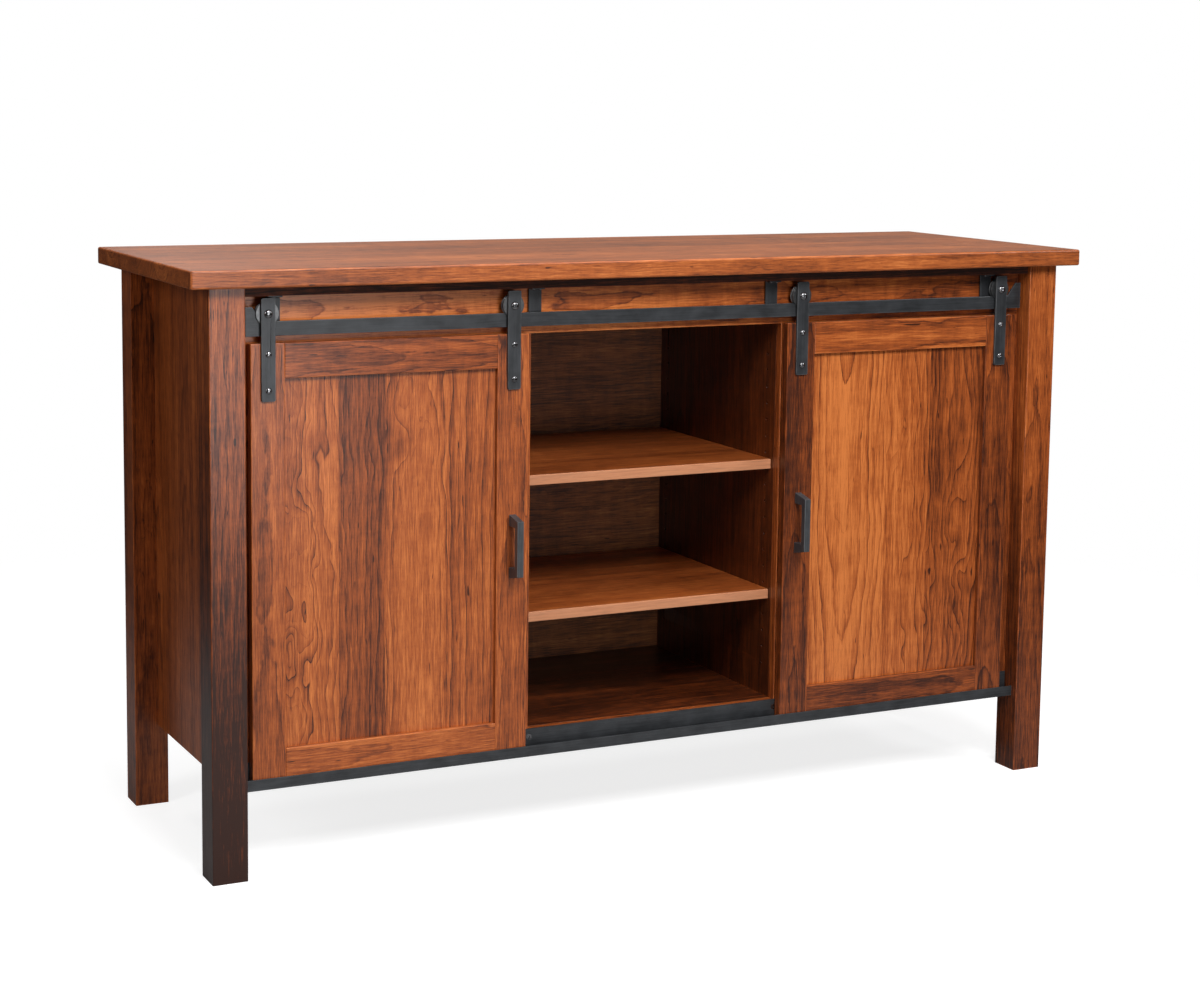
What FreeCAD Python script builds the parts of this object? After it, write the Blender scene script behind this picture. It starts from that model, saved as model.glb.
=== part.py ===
import FreeCAD, Part
import Sketcher
import os
import re

# Sideboard for a television: four square legs, panelled sides, a centre bay of open shelves and
# a side compartment at each end behind a top-hung door that rolls along a flat steel track.
#
# Every size is in millimetres.  The origin is on the floor under the middle of the tabletop,
# +X runs to the right along the front, +Y runs to the back and +Z is up.

doc = FreeCAD.newDocument("sliding_door_stand")
sheet = doc.addObject("Spreadsheet::Sheet", "sizes")
workings = doc.addObject("Spreadsheet::Sheet", "workings")
names = []


def size(name, value):
    """Writes one named size, or one named formula of earlier sizes, into the sheet."""
    names.append(name)
    row = len(names)
    sheet.set("A%d" % row, name.replace("_", " "))
    sheet.set("B%d" % row, str(value))
    sheet.setAlias("B%d" % row, name)


# overall sizes
size("overall_width", 1828.8)
size("overall_depth", 609.6)
size("overall_height", 1066.8)

# tabletop
size("top_thickness", 31.75)
size("top_end_overhang", 38.1)
size("top_front_overhang", 25.4)
size("top_edge_radius", 4)

# frame of the case
size("leg_width", 63.5)
size("leg_edge_radius", 1.5)
size("board_thickness", 19.05)
size("board_edge_radius", 1.5)
size("floor_clearance", 153.7)
size("bottom_rail_height", 44.45)
size("back_thickness", 12.7)
size("back_setback", 19.05)
size("back_rail_height", 63.5)
size("header_thickness", 16.5)
size("header_setback", 7.6)
size("face_setback", 40.6)
size("fascia_height", 101.1)
size("stile_width", 38.1)
size("centre_opening", 525.8)

# shelves of the centre bay and the holes for their pins
size("lower_shelf_top", 412)
size("shelf_raise", 256)
size("shelf_setback", 8.9)
size("shelf_back_gap", 4)
size("shelf_end_gap", 1)
size("pin_radius", 2.5)
size("pin_hole_play", 0.05)
size("pin_length", 16)
size("pin_hole_depth", 8)
size("pin_column_inset", 30)
size("pin_pitch", 32)
size("pin_rows_below", 4)
size("pin_top_margin", 60)

# sliding doors
size("door_allowance", 29.2)
size("door_setback", 17.8)
size("door_thickness", 19.05)
size("door_top_lap", 2.5)
size("door_member_width", 61)
size("panel_thickness", 6.35)
size("panel_recess", 9.5)
size("groove_depth", 9)
size("groove_play", 0.1)
size("panel_room", 1.5)
size("parked_gap", 14)

# track, wheels and hangers
size("track_end_gap", 6.8)
size("track_height", 25.4)
size("track_thickness", 4)
size("track_drop", 44.45)
size("stop_width", 12.5)
size("stop_run", 19)
size("stop_rise", 25)
size("running_gap", 0.3)
size("wheel_diameter", 41.2)
size("tread_diameter", 27)
size("wheel_width", 10)
size("wheel_groove", 5.8)
size("wheel_flange_slope", 0.5)
size("hanger_width", 25.4)
size("hanger_thickness", 4.76)
size("hanger_length", 178)
size("hanger_above_axle", 26.9)
size("hanger_corner_radius", 3)
size("wheel_to_hanger", 0.8)
size("upper_screw_drop", 69.9)
size("screw_spacing", 62.5)
size("standoff_width", 25.4)
size("standoff_thickness", 3.5)
size("standoff_first", 53.4)
size("standoff_last", 76.6)
size("standoff_foot", 17.9)
size("standoff_to_face", 3.2)
size("spacer_radius", 6)
size("spacer_height", 9)

# floor guide along the bottom rail
size("guide_thickness", 2.5)
size("guide_plate_height", 45.5)
size("guide_lip_height", 20)
size("guide_raise", 0.7)
size("guide_end_gap", 0.8)
size("guide_door_gap", 1.3)
size("door_over_guide", 6.1)
size("guide_screw_inner", 261.6)
size("guide_screw_outer", 735)

# handles and fasteners
size("handle_height", 101.6)
size("handle_bar", 12.7)
size("handle_projection", 38.1)
size("handle_flare", 8)
size("bolt_radius", 4)
size("bolt_head_radius", 7.5)
size("bolt_head_height", 4.2)
size("bolt_socket_radius", 2.9)
size("bolt_hole_play", 0.05)
size("nut_radius", 7.4)
size("nut_thickness", 4)
size("screw_radius", 3)
size("screw_head_radius", 5.6)
size("screw_head_height", 3.3)
size("screw_socket_radius", 2.3)
size("screw_depth", 14)
size("small_screw_radius", 2)
size("small_head_radius", 4.2)
size("small_head_height", 2.3)
size("small_screw_depth", 12)
size("fastener_play", 0.05)

# positions that follow from the sizes above
size("case_width", "=overall_width - 2 * top_end_overhang")
size("case_depth", "=overall_depth - 2 * top_front_overhang")
size("case_height", "=overall_height - top_thickness")
size("inner_half", "=case_width / 2 - leg_width")
size("track_length", "=2 * (inner_half - track_end_gap)")
size("case_front", "=0 - case_depth / 2")
size("case_back", "=case_depth / 2")
size("face_front", "=case_front + face_setback")
size("face_back", "=face_front + board_thickness")
size("back_panel_front", "=case_back - back_setback - back_thickness")
size("floor_top", "=floor_clearance + bottom_rail_height")
size("opening_top", "=case_height - fascia_height")
size("header_bottom", "=case_height - header_thickness")
size("opening_half", "=centre_opening / 2")
size("track_top", "=header_bottom - track_drop")
size("shelf_front", "=face_back + shelf_setback")
size("bay_depth", "=back_panel_front - face_back")
size("door_front", "=case_front + door_setback")
size("door_back", "=door_front + door_thickness")
size("door_width", "=inner_half - opening_half - door_allowance")
size("guide_bottom", "=floor_clearance + guide_raise")
size("door_bottom", "=guide_bottom + guide_thickness + door_over_guide")
size("door_top", "=opening_top + door_top_lap")
size("door_height", "=door_top - door_bottom")
size("door_middle", "=(door_top + door_bottom) / 2")
size("groove_width", "=panel_thickness + 2 * groove_play")
size("axle_height", "=track_top + tread_diameter / 2 + running_gap")
size("stop_slope", "=sqrt(stop_run ^ 2 + stop_rise ^ 2)")
size("stop_reach", "=(axle_height - track_top) * (stop_slope - stop_run) / stop_rise")
size("wheel_stop", "=track_length / 2 - stop_width - stop_run - stop_reach")
size("hanger_inset", "=door_member_width / 2")
size("left_door_start", "=0 - wheel_stop - hanger_inset")
size("right_door_start", "=wheel_stop - parked_gap + hanger_inset - door_width")
size("wheel_front", "=door_front + wheel_to_hanger")
size("wheel_back", "=wheel_front + wheel_width")
size("track_middle", "=wheel_front + wheel_width / 2")
size("track_back", "=track_middle + track_thickness / 2")
size("standoff_back", "=face_front - standoff_to_face")
size("standoff_front", "=standoff_back - standoff_thickness")
size("standoff_pitch", "=(track_length - standoff_first - standoff_last) / 3")
size("pin_rest", "=lower_shelf_top - board_thickness - pin_radius")
size("pin_low", "=pin_rest - pin_rows_below * pin_pitch")
size("pin_rows", "=floor((opening_top - pin_top_margin - pin_low) / pin_pitch) + 1")
doc.recompute()


def sized(text):
    """Turns the bare size names of a formula into references to the sheet."""
    def refer(match):
        word = match.group()
        return "sizes." + word if word in names else word
    return re.sub(r"[a-z][a-z_]*", refer, text)


def value(text):
    """The number that a formula has now, for drawing a sketch before it is constrained."""
    workings.set("A1", "=" + sized(text))
    workings.recompute()
    return float(workings.A1)


def bind(obj, prop, text):
    """Ties one property to a formula of the named sizes."""
    obj.setExpression(prop, sized(text))


def place(obj, x, y, z):
    """Ties the position of a piece to formulas of the named sizes."""
    bind(obj, "Placement.Base.x", x)
    bind(obj, "Placement.Base.y", y)
    bind(obj, "Placement.Base.z", z)


pieces = []


def new_body(label):
    """A design body that will be one named piece."""
    body = doc.addObject("PartDesign::Body", label)
    body.Label = label
    pieces.append(body)
    return body


def new_sketch(body, name, plane, lift="0"):
    """A sketch on one of the body's own planes, raised along that plane's normal by lift."""
    sketch = body.newObject("Sketcher::SketchObject", body.Name + "_" + name)
    for feature in body.Origin.OriginFeatures:
        if feature.Role == plane:
            sketch.AttachmentSupport = [(feature, "")]
    sketch.MapMode = "FlatFace"
    if lift != "0":
        bind(sketch, "AttachmentOffset.Base.z", lift)
    return sketch


def fix_point(sketch, shape, end, across, up):
    """Holds one point of a sketch at formulas of the named sizes."""
    for kind, axis, text in (("DistanceX", -2, across), ("DistanceY", -1, up)):
        if text == "0":
            sketch.addConstraint(Sketcher.Constraint("PointOnObject", shape, end, axis))
        else:
            rule = Sketcher.Constraint(kind, -1, 1, shape, end, value(text))
            number = sketch.addConstraint(rule)
            bind(sketch, "Constraints[%d]" % number, text)


def draw_outline(sketch, corners):
    """Draws a closed outline of straight lines through the corners."""
    points = [FreeCAD.Vector(value(across), value(up), 0) for across, up in corners]
    first = sketch.GeometryCount
    count = len(points)
    for step in range(count):
        sketch.addGeometry(Part.LineSegment(points[step], points[(step + 1) % count]), False)
    for step in range(count):
        here = first + step
        after = first + (step + 1) % count
        sketch.addConstraint(Sketcher.Constraint("Coincident", here, 2, after, 1))
    for step in range(count):
        fix_point(sketch, first + step, 1, corners[step][0], corners[step][1])


def draw_circle(sketch, across, up, radius):
    """Draws a circle whose centre and radius follow the named sizes."""
    centre = FreeCAD.Vector(value(across), value(up), 0)
    circle = Part.Circle(centre, FreeCAD.Vector(0, 0, 1), value(radius))
    shape = sketch.addGeometry(circle, False)
    number = sketch.addConstraint(Sketcher.Constraint("Radius", shape, value(radius)))
    bind(sketch, "Constraints[%d]" % number, radius)
    fix_point(sketch, shape, 3, across, up)


def box_corners(wide, high):
    """Corners of a rectangle that starts at the sketch's origin."""
    return [("0", "0"), (wide, "0"), (wide, high), ("0", high)]


def pad(body, sketch, length):
    """Extrudes a sketch along its plane's normal."""
    feature = body.newObject("PartDesign::Pad", sketch.Name + "_pad")
    feature.Profile = sketch
    bind(feature, "Length", length)
    sketch.Visibility = False
    return feature


def cut(body, sketch, depth="", reverse=False):
    """Cuts a sketch into the body, right through it when no depth is given."""
    doc.recompute()
    before = body.Shape.Volume
    feature = body.newObject("PartDesign::Pocket", sketch.Name + "_cut")
    feature.Profile = sketch
    feature.Reversed = reverse
    if depth:
        bind(feature, "Length", depth)
    else:
        feature.Type = "ThroughAll"
    sketch.Visibility = False
    doc.recompute()
    if body.Shape.Volume > before - 1:
        raise ValueError(body.Label + ": a cut removed nothing")
    return feature


def round_edges(body, radius, chosen):
    """Rounds the edges of the body that the test picks."""
    doc.recompute()
    base = body.Tip
    picked = []
    for number, edge in enumerate(base.Shape.Edges):
        if chosen(edge):
            picked.append("Edge%d" % (number + 1))
    feature = body.newObject("PartDesign::Fillet", body.Name + "_rounding")
    feature.Base = (base, picked)
    bind(feature, "Radius", radius)
    return feature


def runs_along(edge, axis):
    """True for a straight edge that runs along the axis numbered 0, 1 or 2."""
    start = edge.Vertexes[0].Point
    end = edge.Vertexes[-1].Point
    span = [abs(end[step] - start[step]) for step in range(3)]
    return span[axis] > 0.01 and sum(span) - span[axis] < 0.01


def board(label, wide, deep, high, x, y, z):
    """A plain rectangular board: its front left bottom corner is at x, y, z."""
    body = new_body(label)
    sketch = new_sketch(body, "outline", "XY_Plane")
    draw_outline(sketch, box_corners(wide, deep))
    pad(body, sketch, high)
    place(body, x, y, z)
    return body


# ---------------------------------------------------------------- tabletop, legs and case

top = board("tabletop", "overall_width", "overall_depth", "top_thickness",
            "0 - overall_width / 2", "0 - overall_depth / 2", "case_height")
round_edges(top, "top_edge_radius", lambda edge: True)

for end, left in (("left", "0 - case_width / 2"), ("right", "inner_half")):
    for face, near in (("front", "case_front"), ("back", "case_back - leg_width")):
        leg = board(face + "_" + end + "_leg", "leg_width", "leg_width", "case_height",
                    left, near, "0")
        round_edges(leg, "leg_edge_radius", lambda edge: runs_along(edge, 2))

for end, left in (("left", "0 - inner_half - board_thickness"), ("right", "inner_half")):
    board(end + "_side_panel", "board_thickness", "case_depth - 2 * leg_width",
          "case_height - floor_clearance", left, "case_front + leg_width", "floor_clearance")

board("bottom_panel", "2 * inner_half", "bay_depth", "board_thickness",
      "0 - inner_half", "face_back", "floor_top - board_thickness")
board("back_panel", "2 * inner_half", "back_thickness", "case_height - floor_clearance",
      "0 - inner_half", "back_panel_front", "floor_clearance")
board("back_top_rail", "2 * inner_half", "back_setback", "back_rail_height",
      "0 - inner_half", "back_panel_front + back_thickness", "case_height - back_rail_height")


def standoff_middle(number):
    """Formula for the middle of one of the four standoffs, measured along the case."""
    return "standoff_first - track_length / 2 + %d * standoff_pitch" % number


# header under the tabletop, drilled for the screws that hold up the track
header = board("header_board", "2 * inner_half", "face_setback - header_setback",
               "header_thickness", "0 - inner_half", "case_front + header_setback",
               "header_bottom")
sketch = new_sketch(header, "screw_holes", "XY_Plane")
foot_screw_back = "standoff_front - standoff_foot / 2 + standoff_thickness / 2"
for number in range(4):
    for side in ("-", "+"):
        across = "inner_half + %s %s standoff_width / 4" % (standoff_middle(number), side)
        draw_circle(sketch, across, foot_screw_back + " - case_front - header_setback",
                    "small_screw_radius + fastener_play")
cut(header, sketch, "small_screw_depth", True)

board("fascia_board", "2 * inner_half", "board_thickness", "fascia_height",
      "0 - inner_half", "face_front", "opening_top")

# face frame: the outer stiles run the full height, the inner ones stand on the bottom rail
for end, left in (("left", "0 - inner_half"), ("right", "inner_half - stile_width")):
    board(end + "_outer_stile", "stile_width", "board_thickness",
          "opening_top - floor_clearance", left, "face_front", "floor_clearance")
for end, left in (("left", "0 - opening_half - stile_width"), ("right", "opening_half")):
    board(end + "_inner_stile", "stile_width", "board_thickness",
          "opening_top - floor_top", left, "face_front", "floor_top")
rail = board("bottom_rail", "2 * (inner_half - stile_width)", "board_thickness",
             "bottom_rail_height", "stile_width - inner_half", "face_front", "floor_clearance")
guide_screw_up = "guide_bottom + 2 * guide_plate_height / 3"
guide_screws = ("0 - guide_screw_outer", "0 - guide_screw_inner",
                "guide_screw_inner", "guide_screw_outer")
sketch = new_sketch(rail, "screw_holes", "XZ_Plane")
for across in guide_screws:
    draw_circle(sketch, across + " + inner_half - stile_width",
                guide_screw_up + " - floor_clearance", "screw_radius + fastener_play")
cut(rail, sketch, "screw_depth")

# partitions, each with two columns of shelf pin holes on the side of the centre bay
pin_front = "face_back + pin_column_inset"
pin_back = "back_panel_front - pin_column_inset"
for end, left in (("left", "0 - opening_half - board_thickness"), ("right", "opening_half")):
    body = board(end + "_partition", "board_thickness", "bay_depth",
                 "case_height - floor_top", left, "face_back", "floor_top")
    lift = "board_thickness" if end == "left" else "0"
    sketch = new_sketch(body, "pin_holes", "YZ_Plane", lift)
    for column in ("pin_column_inset", "bay_depth - pin_column_inset"):
        draw_circle(sketch, column, "pin_low - floor_top", "pin_radius + pin_hole_play")
    drilled = cut(body, sketch, "pin_hole_depth", end == "right")
    pattern = body.newObject("PartDesign::LinearPattern", body.Name + "_pin_rows")
    pattern.Originals = [drilled]
    pattern.Direction = (sketch, ["V_Axis"])
    body.Tip = pattern
    bind(pattern, "Length", "(pin_rows - 1) * pin_pitch")
    bind(pattern, "Occurrences", "pin_rows")

for label, rise in (("lower_shelf", "0"), ("upper_shelf", "shelf_raise")):
    shelf = board(label, "centre_opening - 2 * shelf_end_gap",
                  "bay_depth - shelf_setback - shelf_back_gap", "board_thickness",
                  "shelf_end_gap - opening_half", "shelf_front",
                  "lower_shelf_top - board_thickness + " + rise)
    round_edges(shelf, "board_edge_radius",
                lambda edge: runs_along(edge, 0) and edge.Vertexes[0].Point.y < 0.01)


# ---------------------------------------------------------------- loose and fastened parts

AHEAD = FreeCAD.Rotation(FreeCAD.Vector(1, 0, 0), 90)
BACK = FreeCAD.Rotation(FreeCAD.Vector(1, 0, 0), -90)
DOWN = FreeCAD.Rotation(FreeCAD.Vector(1, 0, 0), 180)
RIGHT = FreeCAD.Rotation(FreeCAD.Vector(0, 1, 0), 90)


def solid(kind, turn, x, y, z, **sizes_of):
    """A simple solid with its own axis turned, its position and its sizes tied to formulas."""
    obj = doc.addObject("Part::" + kind, "solid")
    obj.Placement = FreeCAD.Placement(FreeCAD.Vector(), turn)
    place(obj, x, y, z)
    for prop, text in sizes_of.items():
        bind(obj, prop, text)
    return obj


def joined(kind, members, label="joined"):
    """Fuses solids, or groups them into one compound."""
    obj = doc.addObject("Part::" + kind, label)
    if kind == "MultiFuse":
        obj.Shapes = members
    else:
        obj.Links = members
    return obj


def less(base, tool):
    """One solid with another cut out of it."""
    obj = doc.addObject("Part::Cut", "less")
    obj.Base = base
    obj.Tool = tool
    return obj


def group(label, members):
    """Identical loose solids that make one named piece."""
    obj = joined("Compound", members, label)
    obj.Label = label
    pieces.append(obj)
    return obj


def moved(spot, axis, distance):
    """A position, as three formulas, moved along one axis by another formula."""
    there = list(spot)
    there[axis] = there[axis] + " + (" + distance + ")"
    return tuple(there)


def domed_screw(way, spot, shank, shank_radius, head_radius, head_height, socket):
    """A screw with a domed head and a six-sided socket.  The underside of its head is at spot and
    way is the turn of its axis, the axis number and the sign that lead from the head to the tip."""
    turn, axis, sign = way
    stem = solid("Cylinder", turn, *moved(spot, axis, sign + "(" + shank + ")"),
                 Radius=shank_radius, Height=shank)
    dome = solid("Ellipsoid", turn, *spot, Radius1=head_height, Radius2=head_radius,
                 Radius3=head_radius)
    dome.Angle1 = 0
    whole = joined("MultiFuse", [stem, dome])
    back = "0 - " if sign == "" else ""
    key = solid("Prism", turn, *moved(spot, axis, back + head_height + " / 3"),
                Circumradius=socket, Height=head_height)
    key.Polygon = 6
    return less(whole, key)


FROM_FRONT = (AHEAD, 1, "")
FROM_BACK = (BACK, 1, "0 - ")
FROM_BELOW = (DOWN, 2, "")

pins = []
for rise in ("0", "shelf_raise"):
    for depth in (pin_front, pin_back):
        for inner in ("0 - opening_half - pin_hole_depth",
                      "opening_half + pin_hole_depth - pin_length"):
            pins.append(solid("Cylinder", RIGHT, inner, depth, "pin_rest + " + rise,
                              Radius="pin_radius", Height="pin_length"))
group("shelf_pins", pins)

# ---------------------------------------------------------------- track under the header

track = new_body("track_bar")
sketch = new_sketch(track, "outline", "XZ_Plane")
rise = "track_height + stop_rise"
draw_outline(sketch, [("0", "0"), ("track_length", "0"), ("track_length", rise),
                      ("track_length - stop_width", rise),
                      ("track_length - stop_width - stop_run", "track_height"),
                      ("stop_width + stop_run", "track_height"), ("stop_width", rise),
                      ("0", rise)])
pad(track, sketch, "track_thickness")
place(track, "0 - track_length / 2", "track_back", "track_top - track_height")

for number in range(4):
    body = new_body("standoff_%d" % (number + 1))
    sketch = new_sketch(body, "outline", "YZ_Plane")
    tall = "header_bottom - track_top + track_height"
    draw_outline(sketch, [("standoff_foot - standoff_thickness", "0"), ("standoff_foot", "0"),
                          ("standoff_foot", tall), ("0", tall),
                          ("0", tall + " - standoff_thickness"),
                          ("standoff_foot - standoff_thickness", tall + " - standoff_thickness")])
    pad(body, sketch, "standoff_width")
    sketch = new_sketch(body, "screw_holes", "XY_Plane")
    for across in ("standoff_width / 4", "3 * standoff_width / 4"):
        draw_circle(sketch, across, "standoff_foot / 2 - standoff_thickness / 2",
                    "small_screw_radius + fastener_play")
    cut(body, sketch, "", True)
    place(body, standoff_middle(number) + " - standoff_width / 2",
          "standoff_back - standoff_foot", "track_top - track_height")

spacers = []
foot_screws = []
for number in range(4):
    middle = standoff_middle(number)
    spacers.append(solid("Cylinder", BACK, middle, "track_back",
                         "track_top - track_height + spacer_height",
                         Radius="spacer_radius", Height="standoff_front - track_back"))
    for side in (" - ", " + "):
        spot = (middle + side + "standoff_width / 4",
                "standoff_back - standoff_foot / 2 - standoff_thickness / 2",
                "header_bottom - standoff_thickness")
        foot_screws.append(domed_screw(FROM_BELOW, spot, "small_screw_depth",
                                       "small_screw_radius", "small_head_radius",
                                       "small_head_height", "small_screw_radius / 2"))
group("track_spacers", spacers)
group("standoff_screws", foot_screws)

# ---------------------------------------------------------------- floor guide

guide = new_body("guide_channel")
sketch = new_sketch(guide, "outline", "YZ_Plane")
deep = "face_front - door_front + guide_door_gap + guide_thickness"
draw_outline(sketch, [("0", "0"), (deep, "0"), (deep, "guide_plate_height"),
                      (deep + " - guide_thickness", "guide_plate_height"),
                      (deep + " - guide_thickness", "guide_thickness"),
                      ("guide_thickness", "guide_thickness"),
                      ("guide_thickness", "guide_lip_height"), ("0", "guide_lip_height")])
pad(guide, sketch, "2 * (inner_half - guide_end_gap)")
place(guide, "guide_end_gap - inner_half", "door_front - guide_door_gap - guide_thickness",
      "guide_bottom")
doc.recompute()
sketch = new_sketch(guide, "screw_holes", "XZ_Plane", "0 - (" + deep + " - guide_thickness)")
for across in guide_screws:
    draw_circle(sketch, across + " + inner_half - guide_end_gap", "2 * guide_plate_height / 3",
                "screw_radius + fastener_play")
doc.recompute()
holes = guide.newObject("PartDesign::Hole", "guide_screw_seats")
holes.Profile = sketch
sketch.Visibility = False
doc.recompute()
holes.DepthType = "ThroughAll"
bind(holes, "Diameter", "2 * (screw_radius + fastener_play)")
holes.HoleCutType = "Countersink"
bind(holes, "HoleCutDiameter", "2 * (screw_radius + fastener_play + guide_thickness)")
holes.HoleCutCountersinkAngle = 90

flat_screws = []
for across in guide_screws:
    plate_front = "face_front - guide_thickness"
    stem = solid("Cylinder", BACK, across, plate_front, guide_screw_up,
                 Radius="screw_radius", Height="screw_depth")
    head = solid("Cone", BACK, across, plate_front, guide_screw_up,
                 Radius1="screw_radius + guide_thickness", Radius2="screw_radius",
                 Height="guide_thickness")
    whole = joined("MultiFuse", [stem, head])
    key = solid("Prism", AHEAD, across, plate_front + " + guide_thickness / 2", guide_screw_up,
                Circumradius="screw_socket_radius", Height="guide_thickness")
    key.Polygon = 6
    flat_screws.append(less(whole, key))
group("guide_screws", flat_screws)

# ---------------------------------------------------------------- doors

panel_front = "panel_recess - groove_play"
rail_length = "door_width - 2 * door_member_width"


def door_stile(label, groove_right, left):
    """An upright of a door with the groove for the rails and the panel along one edge."""
    body = new_body(label)
    sketch = new_sketch(body, "outline", "XY_Plane")
    groove_back = panel_front + " + groove_width"
    if groove_right:
        far = "door_member_width"
        deep = "door_member_width - groove_depth"
        corners = [("0", "0"), (far, "0"), (far, panel_front), (deep, panel_front),
                   (deep, groove_back), (far, groove_back), (far, "door_thickness"),
                   ("0", "door_thickness")]
    else:
        corners = [("0", "0"), ("door_member_width", "0"),
                   ("door_member_width", "door_thickness"), ("0", "door_thickness"),
                   ("0", groove_back), ("groove_depth", groove_back),
                   ("groove_depth", panel_front), ("0", panel_front)]
    draw_outline(sketch, corners)
    pad(body, sketch, "door_height")
    place(body, left, "door_front", "door_bottom")
    return body


def door_rail(label, groove_up, left, low):
    """A cross-piece of a door: a tenon as thick as the panel runs through it and enters the
    grooves of both stiles, and a groove along its inner edge holds the panel."""
    body = new_body(label)
    tenon = new_sketch(body, "tenon", "YZ_Plane")
    near = panel_front + " + groove_play"
    far = near + " + panel_thickness"
    bottom = "0" if groove_up else "groove_depth"
    upper = "door_member_width - groove_depth" if groove_up else "door_member_width"
    draw_outline(tenon, [(near, bottom), (far, bottom), (far, upper), (near, upper)])
    pad(body, tenon, rail_length + " + 2 * groove_depth")
    section = new_sketch(body, "section", "YZ_Plane", "groove_depth")
    groove_back = panel_front + " + groove_width"
    if groove_up:
        edge = "door_member_width"
        deep = "door_member_width - groove_depth"
        corners = [("0", "0"), ("door_thickness", "0"), ("door_thickness", edge),
                   (groove_back, edge), (groove_back, deep), (panel_front, deep),
                   (panel_front, edge), ("0", edge)]
    else:
        corners = [("0", "0"), (panel_front, "0"), (panel_front, "groove_depth"),
                   (groove_back, "groove_depth"), (groove_back, "0"), ("door_thickness", "0"),
                   ("door_thickness", "door_member_width"), ("0", "door_member_width")]
    draw_outline(section, corners)
    pad(body, section, rail_length)
    place(body, left + " + door_member_width - groove_depth", "door_front", low)
    return body


def drill_stile(body, with_handle):
    """Holes in a stile for the two screws of its hanger and, on one stile, for the handle."""
    sketch = new_sketch(body, "hanger_holes", "XZ_Plane")
    for drop in ("0", "screw_spacing"):
        draw_circle(sketch, "hanger_inset", "axle_height - upper_screw_drop - " + drop
                    + " - door_bottom", "screw_radius + fastener_play")
    cut(body, sketch, "screw_depth + fastener_play")
    if with_handle:
        sketch = new_sketch(body, "handle_holes", "XZ_Plane")
        for side in ("-", "+"):
            draw_circle(sketch, "hanger_inset", "door_height / 2 " + side
                        + " (handle_height - handle_bar) / 2",
                        "small_screw_radius + fastener_play")
        cut(body, sketch)


def hanger(label, middle):
    """A flat steel strap with rounded corners, two screw holes and the hole for its axle bolt."""
    body = new_body(label)
    sketch = new_sketch(body, "outline", "XZ_Plane")
    draw_outline(sketch, box_corners("hanger_width", "hanger_length"))
    axle_up = "hanger_length - hanger_above_axle"
    draw_circle(sketch, "hanger_width / 2", axle_up, "bolt_radius + bolt_hole_play")
    for drop in ("0", "screw_spacing"):
        draw_circle(sketch, "hanger_width / 2", axle_up + " - upper_screw_drop - " + drop,
                    "screw_radius + fastener_play")
    pad(body, sketch, "hanger_thickness")
    far_corner = value("hanger_width") / 2
    round_edges(body, "hanger_corner_radius",
                lambda edge: runs_along(edge, 1)
                and abs(abs(edge.Vertexes[0].Point.x - far_corner) - far_corner) < 0.01)
    place(body, middle + " - hanger_width / 2", "door_front",
          "axle_height + hanger_above_axle - hanger_length")
    return body


def wheel(label, middle):
    """A steel wheel with a groove that straddles the track, turned about its own bore."""
    body = new_body(label)
    sketch = new_sketch(body, "section", "XY_Plane")
    bore = "bolt_radius + bolt_hole_play"
    rim = "wheel_diameter / 2"
    tread = "tread_diameter / 2"
    lip = "(wheel_width - wheel_groove) / 2"
    draw_outline(sketch, [(bore, "0"), (rim, "0"), (rim, lip + " - wheel_flange_slope"),
                          (tread, lip), (tread, "wheel_width - " + lip),
                          (rim, "wheel_width - " + lip + " + wheel_flange_slope"),
                          (rim, "wheel_width"), (bore, "wheel_width")])
    feature = body.newObject("PartDesign::Revolution", body.Name + "_turned")
    feature.Profile = sketch
    feature.ReferenceAxis = (sketch, ["V_Axis"])
    feature.Angle = 360
    sketch.Visibility = False
    place(body, middle, "wheel_front", "axle_height")
    return body


def handle(label, middle):
    """A square steel grip on two feet that flare out towards the door, tapped from behind."""
    body = new_body(label)
    sketch = new_sketch(body, "side_view", "YZ_Plane")
    low = "handle_flare + handle_bar"
    inner = "handle_flare + handle_height - handle_bar"
    top = "handle_flare + handle_height"
    draw_outline(sketch, [("0", "handle_flare"), ("handle_projection", "0"),
                          ("handle_projection", low), ("handle_bar", low),
                          ("handle_bar", inner), ("handle_projection", inner),
                          ("handle_projection", top + " + handle_flare"), ("0", top)])
    pad(body, sketch, "handle_bar")
    sketch = new_sketch(body, "tapped_holes", "XZ_Plane", "0 - handle_projection")
    for up in ("handle_flare + handle_bar / 2", top + " - handle_bar / 2"):
        draw_circle(sketch, "handle_bar / 2", up, "small_screw_radius + fastener_play")
    cut(body, sketch, "small_screw_depth + fastener_play", True)
    place(body, middle + " - handle_bar / 2", "door_front - handle_projection",
          "door_middle - handle_height / 2 - handle_flare")
    return body


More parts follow.
